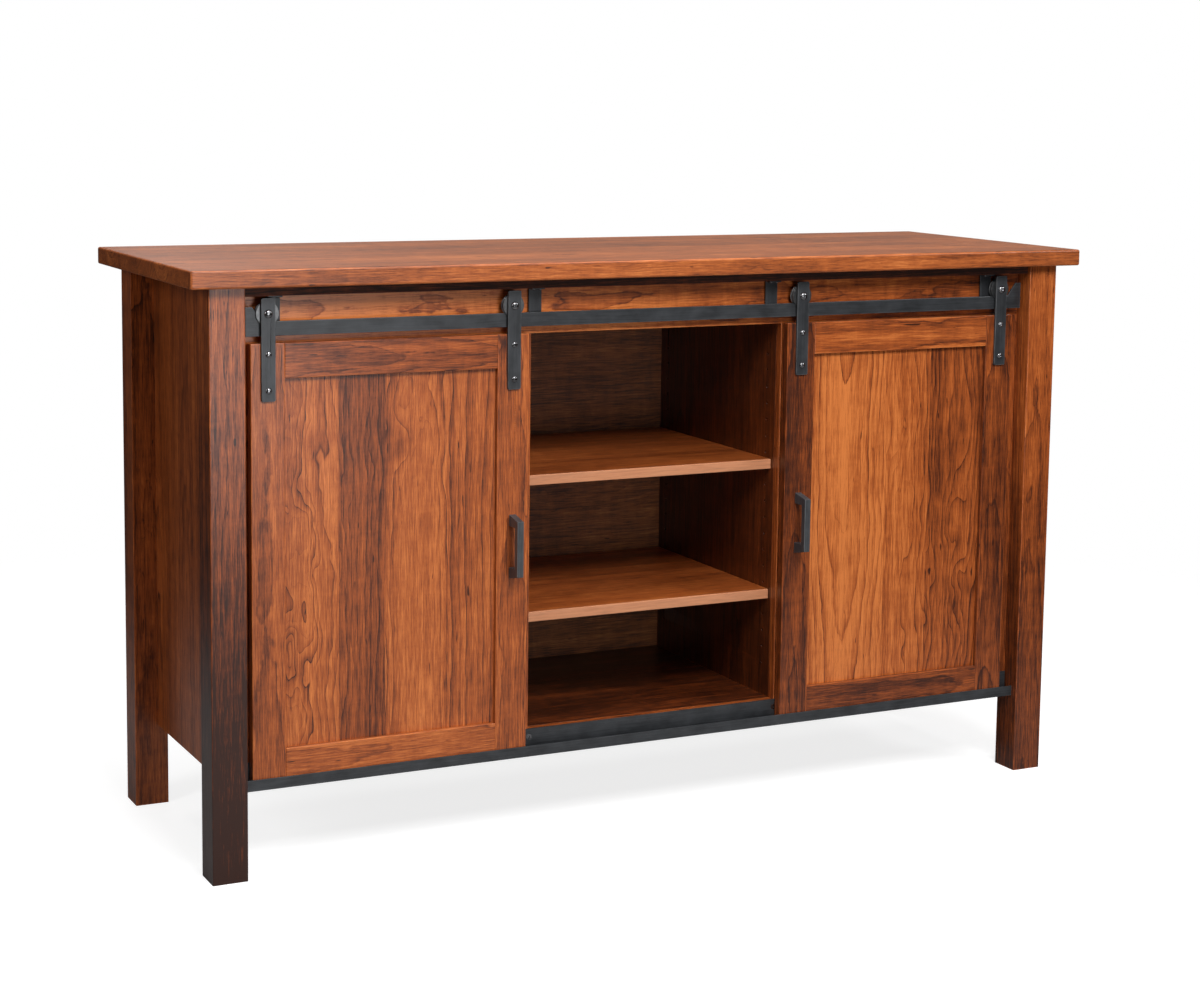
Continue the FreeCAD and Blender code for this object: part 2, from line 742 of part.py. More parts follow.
def door(side):
    """Everything that rolls along the track as one door."""
    left = side + "_door_start"
    inner = "right" if side == "left" else "left"
    spots = {"left": left + " + hanger_inset", "right": left + " + door_width - hanger_inset"}
    stile = door_stile(side + "_door_left_stile", True, left)
    drill_stile(stile, inner == "left")
    stile = door_stile(side + "_door_right_stile", False,
                       left + " + door_width - door_member_width")
    drill_stile(stile, inner == "right")
    door_rail(side + "_door_top_rail", False, left, "door_top - door_member_width")
    door_rail(side + "_door_bottom_rail", True, left, "door_bottom")
    reach = "groove_depth - panel_room"
    board(side + "_door_panel", rail_length + " + 2 * (" + reach + ")", "panel_thickness",
          "door_height - 2 * door_member_width + 2 * (" + reach + ")",
          left + " + door_member_width - (" + reach + ")", "door_front + panel_recess",
          "door_bottom + door_member_width - (" + reach + ")")
    screws = []
    bolts = []
    nuts = []
    for end in ("left", "right"):
        middle = spots[end]
        hanger(side + "_door_" + end + "_hanger", middle)
        wheel(side + "_door_" + end + "_wheel", middle)
        steel_front = "door_front - hanger_thickness"
        for drop in ("0", "screw_spacing"):
            spot = (middle, steel_front, "axle_height - upper_screw_drop - " + drop)
            screws.append(domed_screw(FROM_FRONT, spot, "hanger_thickness + screw_depth",
                                      "screw_radius", "screw_head_radius",
                                      "screw_head_height", "screw_socket_radius"))
        spot = (middle, steel_front, "axle_height")
        shank = "hanger_thickness + wheel_back - door_front + running_gap + nut_thickness"
        bolts.append(domed_screw(FROM_FRONT, spot, shank, "bolt_radius", "bolt_head_radius",
                                 "bolt_head_height", "bolt_socket_radius"))
        blank = solid("Prism", BACK, middle, "wheel_back + running_gap", "axle_height",
                      Circumradius="nut_radius", Height="nut_thickness")
        blank.Polygon = 6
        bore = solid("Cylinder", BACK, middle, "wheel_back + running_gap", "axle_height",
                     Radius="bolt_radius + bolt_hole_play", Height="nut_thickness")
        nuts.append(less(blank, bore))
    group(side + "_door_hanger_screws", screws)
    group(side + "_door_axle_bolts", bolts)
    group(side + "_door_axle_nuts", nuts)
    handle(side + "_door_handle", spots[inner])
    pulls = []
    for sign in ("-", "+"):
        spot = (spots[inner], "door_back",
                "door_middle " + sign + " (handle_height - handle_bar) / 2")
        pulls.append(domed_screw(FROM_BACK, spot, "door_thickness + small_screw_depth",
                                 "small_screw_radius", "small_head_radius",
                                 "small_head_height", "small_screw_radius / 2"))
    group(side + "_door_handle_screws", pulls)


door("left")
door("right")

# ---------------------------------------------------------------- check and write every piece

doc.recompute()
for obj in doc.Objects:
    if "Invalid" in obj.State or "Error" in obj.State:
        raise ValueError(obj.Name + " did not build")
os.makedirs("parts", exist_ok=True)
for piece in pieces:
    shape = piece.Shape
    if shape.isNull() or not shape.isValid() or not shape.Solids:
        raise ValueError(piece.Label + " is not a valid solid")
    shape.exportStep("parts/" + piece.Label + ".step")
print(len(pieces), "pieces written")
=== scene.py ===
import math

import bpy
from mathutils import Matrix, Vector


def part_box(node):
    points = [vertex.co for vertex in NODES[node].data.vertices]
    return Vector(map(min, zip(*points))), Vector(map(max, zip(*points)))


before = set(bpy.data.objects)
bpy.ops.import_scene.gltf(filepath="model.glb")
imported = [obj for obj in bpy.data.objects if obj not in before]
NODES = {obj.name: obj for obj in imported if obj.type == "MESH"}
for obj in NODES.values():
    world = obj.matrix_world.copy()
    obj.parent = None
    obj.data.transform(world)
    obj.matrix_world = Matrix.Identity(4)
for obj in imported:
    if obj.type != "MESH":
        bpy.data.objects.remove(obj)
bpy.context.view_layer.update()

AXES = "xyz"


# ---------------------------------------------------------------- small helpers for node trees

class Recipe:
    """One material's node tree, with short ways to add and join its nodes."""

    def __init__(self, name):
        self.material = bpy.data.materials.new(name)
        self.material.use_nodes = True
        self.tree = self.material.node_tree
        self.tree.nodes.clear()

    def feed(self, socket, value):
        """Gives an input either another node's output or a plain value."""
        if isinstance(value, bpy.types.NodeSocket):
            self.tree.links.new(value, socket)
        else:
            socket.default_value = value

    def add(self, kind, feeds=(), **settings):
        """Adds a node.  feeds pairs its inputs, by number or name, with values or outputs."""
        node = self.tree.nodes.new(kind)
        for key, value in settings.items():
            setattr(node, key, value)
        for key, value in feeds:
            self.feed(node.inputs[key], value)
        return node

    def sum(self, operation, first, second=0.0, third=0.0, clamp=False):
        """One step of arithmetic on numbers."""
        node = self.add("ShaderNodeMath", [(0, first), (1, second), (2, third)],
                        operation=operation, use_clamp=clamp)
        return node.outputs[0]

    def sway(self, value, amount, base, clamp=False):
        """Adds to base a pattern that runs from 0 to 1, centred on nought and scaled."""
        centred = self.sum("SUBTRACT", value, 0.5)
        return self.sum("MULTIPLY_ADD", centred, amount, base, clamp)

    def vector(self, operation, first, second=(0, 0, 0), third=(0, 0, 0)):
        """One step of arithmetic on vectors."""
        node = self.add("ShaderNodeVectorMath", [(0, first), (1, second), (2, third)],
                        operation=operation)
        return node.outputs[0]

    def measure(self, operation, first, second=(0, 0, 0)):
        """A vector's length, or the dot product of two."""
        node = self.add("ShaderNodeVectorMath", [(0, first), (1, second)], operation=operation)
        return node.outputs["Value"]

    def span(self, value, low, high, new_low=0.0, new_high=1.0):
        """Carries a range of numbers smoothly onto another and holds the ends."""
        node = self.add("ShaderNodeMapRange", [(0, value), (1, low), (2, high),
                                               (3, new_low), (4, new_high)],
                        interpolation_type="SMOOTHSTEP")
        return node.outputs[0]

    def noise(self, place, swings, detail=2.0, roughness=0.5, distortion=0.0, shift=(0, 0, 0)):
        """Noise that swings about so many times a metre along each axis."""
        return self.add("ShaderNodeTexNoise",
                        [("Vector", self.vector("MULTIPLY_ADD", place, swings, shift)),
                         ("Scale", 1.0), ("Detail", detail), ("Roughness", roughness),
                         ("Distortion", distortion)])

    def noise_along(self, value, scale, detail):
        """Noise along a single number."""
        return self.add("ShaderNodeTexNoise", [("W", value), ("Scale", scale),
                                               ("Detail", detail)],
                        noise_dimensions="1D").outputs[0]

    def ramp(self, value, stops, interpolation="LINEAR"):
        """A colour ramp through (position, colour) stops."""
        node = self.add("ShaderNodeValToRGB", [(0, value)])
        band = node.color_ramp
        band.interpolation = interpolation
        while len(band.elements) > 1:
            band.elements.remove(band.elements[-1])
        band.elements[0].position = stops[0][0]
        band.elements[0].color = full_colour(stops[0][1])
        for position, colour in stops[1:]:
            band.elements.new(position).color = full_colour(colour)
        return node

    def tint(self, share, first, second):
        """Mixes two colours."""
        node = self.add("ShaderNodeMix", [(0, share), (6, first), (7, second)],
                        data_type="RGBA", blend_type="MIX")
        return node.outputs[2]

    def split(self, vector):
        """The three parts of a vector."""
        return self.add("ShaderNodeSeparateXYZ", [(0, vector)]).outputs

    def bump(self, height, strength, distance):
        """A surface normal tilted by small heights."""
        return self.add("ShaderNodeBump", [("Strength", strength), ("Distance", distance),
                                           ("Height", height)]).outputs[0]

    def finish(self, **values):
        """Adds the surface shader.  Plain values are set on its own sockets."""
        shader = self.add("ShaderNodeBsdfPrincipled")
        for name, value in values.items():
            self.feed(shader.inputs[name.replace("_", " ")], value)
        self.show(shader)
        return self.material

    def show(self, shader):
        """Joins a shader to the material's surface."""
        output = self.add("ShaderNodeOutputMaterial")
        self.tree.links.new(shader.outputs[0], output.inputs[0])


def full_colour(colour):
    """A number, three numbers or four numbers as a four-part colour."""
    if isinstance(colour, (int, float)):
        return (colour, colour, colour, 1.0)
    return tuple(colour) if len(colour) == 4 else tuple(colour) + (1.0,)


def board_space(recipe, nodes, grain, out):
    """Coordinates of a board from its own middle: along the grain, across it and through its
    thickness.  Also gives the half sizes of the board in that order."""
    low = Vector(min(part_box(n)[0][i] for n in nodes) for i in range(3))
    high = Vector(max(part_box(n)[1][i] for n in nodes) for i in range(3))
    order = [AXES.index(grain), 3 - AXES.index(grain) - AXES.index(out), AXES.index(out)]
    here = recipe.add("ShaderNodeTexCoord").outputs["Object"]
    centred = recipe.split(recipe.vector("SUBTRACT", here, (low + high) / 2))
    turned = recipe.add("ShaderNodeCombineXYZ", [(i, centred[order[i]]) for i in range(3)])
    half = (high - low) / 2
    return turned.outputs[0], [half[i] for i in order]


def edge_distance(recipe, place, half):
    """Distance to the nearest arris of a box, for a point on its faces: of the three distances
    to the pairs of faces, the middle one."""
    gaps = recipe.split(recipe.vector("SUBTRACT", tuple(half), recipe.vector("ABSOLUTE", place)))
    least = recipe.sum("MINIMUM", gaps[0], gaps[1])
    most = recipe.sum("MAXIMUM", gaps[0], gaps[1])
    return recipe.sum("MAXIMUM", least, recipe.sum("MINIMUM", most, gaps[2]))


# ---------------------------------------------------------------- stained cherry

# the stain's colours, each with the darkness it stands at
PALE = (0.0, (0.640, 0.190, 0.044))
WARM = (0.36, (0.385, 0.088, 0.0165))
DEEP = (0.72, (0.145, 0.030, 0.0062))
INKY = (1.0, (0.030, 0.007, 0.0026))
# the shelves' pale front lip: partly lighter bare wood, partly a painted sheen
PALE_LIP_AND_SHEEN = (0.60, 0.27, 0.14, 1.0)

# one ring from its early wood to the thin dark line of its late wood, and a ring's mean
RING = [(0.0, 0.7), (0.03, 0.05), (0.12, 0.0), (0.50, 0.12), (0.82, 0.36), (0.93, 0.55),
        (0.975, 1.0), (1.0, 0.7)]
RING_MEAN = 0.2

# how often each pattern swings in a metre: along the grain, across it and through the board
STEM = (2.6, 9.0, 9.0)
SHIVER = (16.0, 38.0, 38.0)
UNRULY = (8.0, 18.0, 18.0)
FIBRE = (20.0, 430.0, 430.0)
STREAK = (1.6, 62.0, 62.0)
PORE = (150.0, 1900.0, 1900.0)
FLAME = (42.0, 11.0, 11.0)
CLOUD = (3.4, 12.0, 12.0)
GUM = (34.0, 210.0, 210.0)

# how much each pattern darkens the wood
FIBRE_SHADE = 1.30
STREAK_SHADE = 0.42
CLOUD_SHADE = 3.0
FLAME_SHADE = -0.22
PORE_SHADE = 0.12
GUM_SHADE = 0.45
STAVE_SHADE = 0.8
# lighter arrises: partly rubbed wear, partly a painted highlight
RUB_AND_HIGHLIGHT_SHADE = -0.24

# how far apart the patterns of two staves and of two pieces lie
STAVE_STEP = 37.0
SEED_STEP = 0.37

# rings: how unevenly they are spaced, and how the darkness of their lines is shared out
UNEVEN_SCALE = 0.35
UNEVEN_SHARE = 1.3
STRENGTH_POWER = 1.4
STRENGTH_RANGE = 0.95
STRENGTH_LEAST = 0.15

# the part of each noise that shows as a pore, as gum and as a lighter arris (rubbed wear with a
# painted highlight)
PORE_RANGE = (0.56, 0.72)
GUM_RANGE = (0.80, 0.88)
RUB_AND_HIGHLIGHT_RANGE = (0.30, 0.62)

# widths in metres: a lighter arris (rubbed wear with a painted highlight), a pale lip (partly
# painted sheen) and a knot's dark core
WOOD_RIM = (0.0004, 0.0034)
LIP_INNER, LIP_OUTER = 0.0012, 0.004
KNOT_CORE = (0.003, 0.0075)

# a knot: how far it pushes the rings out, the square of its reach and how it is drawn out
KNOT_SWELL = 0.026
KNOT_REACH = 0.00011
KNOT_STRETCH = (0.55, 1.0, 1.0)

# what fibres and rings add to the roughness, how deep pores and rings lie, and the bump's
# strength and height in metres
FIBRE_GLOSS = 0.14
RING_GLOSS = 0.06
PORE_DEPTH = -0.9
RING_DEPTH = -0.35
WOOD_BUMP = (0.35, 0.00012)


def toned(stop, tone, warmth):
    """A stop of the stain made lighter or darker, with its red kept back or pushed."""
    darkness, (red, green, blue) = stop
    return darkness, (red * tone * warmth, green * tone, blue * tone / warmth)


def stave_under(r, across, half_width, boards):
    """What the stave under a point says.  Its pith across and its pith below carry a half more,
    so that they fit in a colour, and the fourth value is 1 for a lean up and 0 for one down."""
    share = r.sum("MULTIPLY_ADD", across, 0.5 / half_width, 0.5)
    stops = []
    start = 0.0
    for end, pith_across, pith_below, shade, *way in boards:
        lean_share = 0.5 + 0.5 * (way[0] if way else 1.0)
        stops.append((start, (pith_across + 0.5, pith_below + 0.5, shade, lean_share)))
        start = end
    stave = r.ramp(share, stops, "CONSTANT")
    parts = r.add("ShaderNodeSeparateColor", [(0, stave.outputs[0])]).outputs
    return parts[0], parts[1], parts[2], stave.outputs[1]


def hill(r, place, spot):
    """A push on the rings that falls off round a spot: its height over one more than the
    square of the distance, counted in the spot's half sizes."""
    along, across, half_length, half_width, push = spot
    gap = r.vector("MULTIPLY", r.vector("SUBTRACT", place, (along, across, 0)),
                   (1 / half_length, 1 / half_width, 0))
    return r.sum("DIVIDE", push, r.sum("ADD", r.measure("DOT_PRODUCT", gap, gap), 1.0))


def pith_distance(r, place, shift, stave, wander, ripple, lean):
    """Distance from the leaning pith, moved about by slow bends of the stem and by small
    ripples of each ring."""
    along, across, through = r.split(place)
    pith_across, pith_below, _, lean_share = stave
    middle = (0.5, 0.5, 0.5)
    stem = r.noise(place, STEM, 2.5, 0.55, shift=shift).outputs["Color"]
    bend = r.split(r.vector("SUBTRACT", stem, middle))
    quick = r.noise(place, SHIVER, 3.0, 0.55, shift=shift).outputs["Color"]
    shiver = r.split(r.vector("SUBTRACT", quick, middle))
    side = r.sum("SUBTRACT", across, r.sum("SUBTRACT", pith_across, 0.5))
    side = r.sum("MULTIPLY_ADD", bend[0], wander * 2.0, side)
    side = r.sum("MULTIPLY_ADD", shiver[0], ripple * 2.0, side)
    below = r.sum("SUBTRACT", r.sum("SUBTRACT", pith_below, 0.5), through)
    tilt = r.sum("MULTIPLY_ADD", lean_share, 2.0 * lean, -lean)
    below = r.sum("MULTIPLY_ADD", along, tilt, below)
    below = r.sum("MULTIPLY_ADD", bend[1], wander * 2.0, below)
    below = r.sum("MULTIPLY_ADD", shiver[1], ripple * 2.0, below)
    return r.sum("SQRT", r.sum("MULTIPLY_ADD", side, side, r.sum("MULTIPLY", below, below)))


def ring_lines(r, radius, ring, seed):
    """The dark lines of the rings, no two rings equally wide or equally dark."""
    count = r.sum("DIVIDE", radius, ring)
    uneven = r.noise_along(r.sum("ADD", count, seed), UNEVEN_SCALE, 1.0)
    count = r.sum("MULTIPLY_ADD", uneven, UNEVEN_SHARE, count)
    line = r.ramp(r.sum("FRACT", count), RING).outputs[0]
    strength = r.add("ShaderNodeTexWhiteNoise", [("W", r.sum("FLOOR", count))],
                     noise_dimensions="1D").outputs["Value"]
    strength = r.sum("MULTIPLY_ADD", r.sum("POWER", strength, STRENGTH_POWER),
                     STRENGTH_RANGE, STRENGTH_LEAST)
    return r.sum("MULTIPLY", line, strength)


def cherry(name, nodes, grain, out, boards=((1.0, 0.0, 0.07, 0.5),), seed=0.0, ring=0.0085,
           lean=0.02, wander=0.012, ripple=0.0030, lines=0.45, depth=0.35, tone=1.0,
           warmth=1.0, blotch=0.17, vigour=1.2, sheen=0.36, coat=0.24, knot=None, curl=0.0,
           fade=0.0, lip=0.0, swirls=(), wilds=()):
    """Stained cherry cut from a solid log.

    The rings are circles round a pith line.  A point's distance from that line, divided by the
    ring width, is its ring number, and the late wood at the end of each ring is a thin dark
    line.  The pith leans through the board, so the rings meet the face in long arches, and
    noise that is stretched along the grain moves them about.

    boards lists the staves of a glued-up piece from one edge to the other, each as (share of
    the width where it ends, pith across, pith below the face, shade) and, if it leans another
    way, the lean's sign.  swirls are eyes in the figure and wilds are patches of unruly figure,
    both as (along, across, half length, half width, push).  knot is (along, across, darkness).
    depth is how dark the stain is, lines how dark the rings are and vigour how strongly all
    the figure shows.  fade darkens the board towards its low end, and lip lightens the long
    edge on its low side."""
    r = Recipe(name)
    place, half = board_space(r, nodes, grain, out)
    along, across, _ = r.split(place)
    stave = stave_under(r, across, half[1], boards)
    shade = stave[2]
    stave_shift = r.sum("MULTIPLY", r.sum("ADD", stave[0], shade), STAVE_STEP)
    shift = r.add("ShaderNodeCombineXYZ", [(0, stave_shift), (1, seed),
                                           (2, seed * SEED_STEP)]).outputs[0]

    # the rings, pushed aside by eyes, unruly patches and a knot
    radius = pith_distance(r, place, shift, stave, wander, ripple, lean)
    for spot in swirls:
        radius = r.sum("ADD", radius, hill(r, place, spot))
    if wilds:
        restless = r.noise(place, UNRULY, 2.0, 0.4, shift=shift).outputs[0]
        restless = r.sum("SUBTRACT", restless, 0.5)
    for spot in wilds:
        radius = r.sum("ADD", radius, r.sum("MULTIPLY", hill(r, place, spot), restless))
    if knot:
        knot_along, knot_across, knot_shade = knot
        gap = r.vector("SUBTRACT", place, (knot_along, knot_across, half[2]))
        away = r.measure("LENGTH", r.vector("MULTIPLY", gap, KNOT_STRETCH))
        swell = r.sum("DIVIDE", KNOT_REACH, r.sum("MULTIPLY_ADD", away, away, KNOT_REACH))
        radius = r.sum("MULTIPLY_ADD", swell, KNOT_SWELL, radius)
    rings = ring_lines(r, radius, ring, seed)

    # fibres, pores, flame across the grain, blotches of stain and flecks of gum
    fibre = r.noise(place, FIBRE, 4.0, 0.72, shift=shift).outputs[0]
    streak = r.noise(place, STREAK, 2.0, 0.5, shift=shift).outputs[0]
    pore = r.span(r.noise(place, PORE, 1.0, 0.5).outputs[0], *PORE_RANGE)
    flame = r.noise(place, FLAME, 3.0, 0.6, 0.6, shift=shift).outputs[0]
    cloud = r.noise(place, CLOUD, 3.0, 0.6, shift=shift).outputs[0]
    gum = r.span(r.noise(place, GUM, 0.0, shift=shift).outputs[0], *GUM_RANGE)

    dark = r.sum("MULTIPLY_ADD", rings, lines, depth)
    dark = r.sway(fibre, FIBRE_SHADE, dark)
    dark = r.sway(streak, STREAK_SHADE, dark)
    dark = r.sway(cloud, blotch * CLOUD_SHADE, dark)
    dark = r.sway(flame, FLAME_SHADE - curl, dark)
    dark = r.sum("MULTIPLY_ADD", pore, PORE_SHADE, dark)
    dark = r.sum("MULTIPLY_ADD", gum, GUM_SHADE, dark)
    mean = depth + RING_MEAN * lines
    dark = r.sum("MULTIPLY_ADD", dark, vigour, mean - mean * vigour)
    # fade paints shade: the board darker towards its low end, where less light falls and less
    # sheen shows
    if fade:
        dark = r.sum("MULTIPLY_ADD", along, -fade / half[0], dark)
    dark = r.sway(shade, STAVE_SHADE, dark)
    if knot:
        dark = r.sum("ADD", r.span(away, *KNOT_CORE, knot_shade, 0.0), dark)

    # the stain is rubbed thin in places along the arrises; the lighter arrises are also a
    # painted highlight where light catches the edges
    rim = edge_distance(r, place, half)
    lighter_arris = r.sum("MULTIPLY", r.span(rim, *WOOD_RIM, 1.0, 0.0), r.span(cloud, *RUB_AND_HIGHLIGHT_RANGE))
    dark = r.sum("MULTIPLY_ADD", lighter_arris, RUB_AND_HIGHLIGHT_SHADE, dark, clamp=True)

    colour = r.ramp(dark, [toned(stop, tone, warmth) for stop in (PALE, WARM, DEEP, INKY)])
    colour = colour.outputs[0]
    # the pale lip is partly lighter wood at the edge and partly a painted sheen on the lit front
    # edge
    if lip:
        near_lip = r.span(across, LIP_INNER - half[1], LIP_OUTER - half[1], lip, 0.0)
        paler = r.sum("MULTIPLY_ADD", fibre, -1.1, 1.5)
        colour = r.tint(r.sum("MULTIPLY", near_lip, paler), colour, PALE_LIP_AND_SHEEN)

    gloss = r.sum("MULTIPLY_ADD", fibre, FIBRE_GLOSS, sheen - FIBRE_GLOSS / 2)
    gloss = r.sum("MULTIPLY_ADD", rings, RING_GLOSS, gloss)
    height = r.sum("MULTIPLY_ADD", rings, RING_DEPTH, fibre)
    height = r.sum("MULTIPLY_ADD", pore, PORE_DEPTH, height)
    return r.finish(Base_Color=colour, Roughness=gloss, Normal=r.bump(height, *WOOD_BUMP),
                    Coat_Weight=coat, Coat_Roughness=0.22, Coat_IOR=1.45, IOR=1.45)


# ---------------------------------------------------------------- steel

# swings in a metre of the satin coat's mottling, drag marks and orange peel
MOTTLE = (22.0, 30.0, 30.0)
DRAG = (14.0, 380.0, 380.0)
PEEL = (1500.0, 1500.0, 1500.0)
OXIDE = (120.0, 120.0, 120.0)

# the coat: what its patterns add to its lightness, and where and how far it is worn
MOTTLE_SHARE = 1.6
DRAG_SHARE = 1.3
RUB_SHARE = 0.5
WORN_SHARE = 0.35
WORN_STEEL = (0.16, 0.165, 0.17, 1.0)
STEEL_RIM = (0.0004, 0.0020)
WORN_RANGE = (0.30, 0.55)
MOTTLE_GLOSS = 0.16
DRAG_DEPTH = 0.6
STEEL_BUMP = (0.25, 0.00006)

# the lathe's cuts: how much they lighten the steel, its darkest share and their bump
CUT_SHARE = 0.7
DARK_CUT = 0.55
LATHE_BUMP = (0.3, 0.00005)


def blackened_steel(name, nodes, grain="z", out="y", dark=(0.020, 0.0215, 0.024),
                    light=(0.058, 0.062, 0.068), rough=0.40):
    """Flat steel with a satin black coat: faint mottling, fine drag marks along the bar, a fine
    orange-peel bump and arrises where the coat is rubbed thin."""
    r = Recipe(name)
    place, half = board_space(r, nodes, grain, out)
    mottle = r.noise(place, MOTTLE, 4.0, 0.6).outputs[0]
    drag = r.noise(place, DRAG, 3.0, 0.7).outputs[0]
    peel = r.noise(place, PEEL, 1.0, 0.5).outputs[0]
    rim = edge_distance(r, place, half)
    lighter_arris = r.sum("MULTIPLY", r.span(rim, *STEEL_RIM, 1.0, 0.0), r.span(mottle, *WORN_RANGE))
    amount = r.sway(mottle, MOTTLE_SHARE, 0.5)
    amount = r.sway(drag, DRAG_SHARE, amount)
    amount = r.sum("MULTIPLY_ADD", lighter_arris, RUB_SHARE, amount, clamp=True)
    colour = r.ramp(amount, [(0.0, dark), (1.0, light)]).outputs[0]
    colour = r.tint(r.sum("MULTIPLY", lighter_arris, WORN_SHARE), colour, WORN_STEEL)
    gloss = r.sum("MULTIPLY_ADD", mottle, MOTTLE_GLOSS, rough - MOTTLE_GLOSS / 2)
    height = r.sum("MULTIPLY_ADD", drag, DRAG_DEPTH, peel)
    return r.finish(Base_Color=colour, Roughness=gloss, Normal=r.bump(height, *STEEL_BUMP),
                    Metallic=0.35, Specular_IOR_Level=0.6)


def turned_steel(name, base, rough, cuts, centre=None, marks=0.12):
    """Steel turned on a lathe: fine rings round its own axis, which runs front to back, so many
    to the metre, with slow clouds of darker oxide."""
    r = Recipe(name)
    here = r.add("ShaderNodeTexCoord").outputs["Object"]
    if centre is not None:
        here = r.vector("SUBTRACT", here, centre)
    wide, _, tall = r.split(here)
    radius = r.sum("SQRT", r.sum("MULTIPLY_ADD", wide, wide, r.sum("MULTIPLY", tall, tall)))
    cut = r.noise_along(radius, cuts, 2.0)
    cloud = r.noise(here, OXIDE, 3.0, 0.6).outputs[0]
    amount = r.sway(cut, CUT_SHARE, cloud, clamp=True)
    colour = r.ramp(amount, [(0.25, tuple(part * DARK_CUT for part in base)), (0.75, base)])
    gloss = r.sum("MULTIPLY_ADD", cloud, marks, rough - marks / 2)
    return r.finish(Base_Color=colour.outputs[0], Roughness=gloss,
                    Normal=r.bump(cut, *LATHE_BUMP), Metallic=1.0)


# ---------------------------------------------------------------- dress every piece

def dress(node, material):
    """Puts one material on every slot of a piece."""
    slots = NODES[node].material_slots
    for slot in slots:
        slot.material = material
    if not slots:
        NODES[node].data.materials.append(material)


WELD_GAP = 0.00001
FLAT_WITHIN = math.radians(0.6)
SHARP_FROM = math.radians(40)


def ease(node, width, segments=3):
    """Eases the sharp arrises of a piece: its split corners are welded, flat faces joined, and
    every edge sharper than forty degrees is rounded."""
    piece = NODES[node]
    weld = piece.modifiers.new("weld", "WELD")
    weld.merge_threshold = WELD_GAP
    flat = piece.modifiers.new("flat", "DECIMATE")
    flat.decimate_type = "DISSOLVE"
    flat.angle_limit = FLAT_WITHIN
    bevel = piece.modifiers.new("eased", "BEVEL")
    bevel.width = width
    bevel.segments = segments
    bevel.limit_method = "ANGLE"
    bevel.angle_limit = SHARP_FROM
    bevel.use_clamp_overlap = False


def wooden(node, grain, out, ease_by=0.0011, **look):
    """Dresses a wooden piece and eases its arrises."""
    dress(node, cherry("cherry_" + node, [node], grain, out, **look))
    if ease_by:
        ease(node, ease_by)


def steel(node, grain, out, ease_by=0.0006, **look):
    """Dresses a blackened steel piece and eases its arrises."""
    dress(node, blackened_steel("black_steel_" + node, [node], grain, out, **look))
    ease(node, ease_by, 2)


# case
wooden("tabletop", "x", "z", ease_by=0, seed=3.1, lean=0.012, depth=0.44, tone=1.12,
       warmth=0.93, sheen=0.42,
       boards=((0.17, 0.02, 0.06, 0.52), (0.36, -0.13, 0.05, 0.44), (0.55, 0.06, 0.09, 0.50),
               (0.76, -0.03, 0.05, 0.56), (1.0, 0.2, 0.04, 0.48)))
# the front legs' fade paints shade: both are darker towards the floor, where less light falls
wooden("front_left_leg", "z", "y", ease_by=0, seed=5.3, depth=0.80, lines=0.36, fade=0.35,
       boards=((1.0, 0.05, 0.06, 0.5),), knot=(0.02, -0.012, 0.25))
wooden("front_right_leg", "z", "y", ease_by=0, seed=6.9, depth=0.58, lines=0.42, fade=0.20,
       boards=((1.0, -0.012, 0.05, 0.5),), knot=(-0.20, 0.004, 0.5))
wooden("back_left_leg", "z", "y", ease_by=0, seed=8.7, depth=0.54, lines=0.40)
wooden("back_right_leg", "z", "y", ease_by=0, seed=9.4, depth=0.56, lines=0.40)
for side, seed in (("left", 11.0), ("right", 13.0)):
    wooden(side + "_side_panel", "z", "x", seed=seed, depth=0.48, lines=0.50,
           boards=((0.36, -0.16, 0.05, 0.54), (0.70, 0.02, 0.07, 0.46),
                   (1.0, 0.2, 0.05, 0.52)))
    wooden(side + "_outer_stile", "z", "y", seed=seed + 3.3, depth=0.60, lines=0.4)
    wooden(side + "_inner_stile", "z", "y", seed=seed + 5.1, depth=0.52, lines=0.4)
    wooden(side + "_partition", "z", "x", seed=seed + 7.7, depth=0.76, lines=0.25, tone=0.7,
           ease_by=0.0004, vigour=0.9,
           boards=((0.4, -0.1, 0.05, 0.5), (1.0, 0.15, 0.06, 0.55)))
wooden("bottom_panel", "x", "z", seed=17.0, depth=0.86, lines=0.4, ease_by=0.0005,
       boards=((0.35, -0.1, 0.05, 0.5), (0.7, 0.02, 0.06, 0.45), (1.0, 0.15, 0.06, 0.55)))
wooden("back_panel", "x", "y", seed=19.0, depth=0.51, lines=0.30, ring=0.0034, lean=0.004,
       wander=0.016, tone=1.0, warmth=0.69, curl=0.10, ease_by=0.0005,
       boards=((0.5, 0.02, 0.30, 0.5), (1.0, -0.04, 0.34, 0.52)))
wooden("back_top_rail", "x", "y", seed=21.0, depth=0.56)
# the header board's near-black stain is painted shade under the tabletop's overhang
wooden("header_board", "x", "z", seed=23.0, depth=0.88, tone=0.7, sheen=0.80, coat=0.04)
# the fascia's negative fade paints shade: its right end darker, where less light and sheen fall
wooden("fascia_board", "x", "y", seed=25.0, depth=0.31, lines=0.46, fade=-0.33, lean=0.01,
       wander=0.026, ripple=0.004, curl=0.30, blotch=0.28, tone=1.14,
       boards=((1.0, 0.0, 0.05, 0.46),))
wooden("bottom_rail", "x", "y", seed=27.0, depth=0.50)
# the shelves' lip paints a sheen on their lit front edges, over wood a little paler there
for shelf, seed in (("lower_shelf", 29.0), ("upper_shelf", 31.0)):
    wooden(shelf, "x", "z", ease_by=0, seed=seed, depth=0.38, lines=0.40, lean=0.015, lip=0.85,
           boards=((0.45, 0.02, 0.05, 0.48), (1.0, -0.1, 0.06, 0.52)))

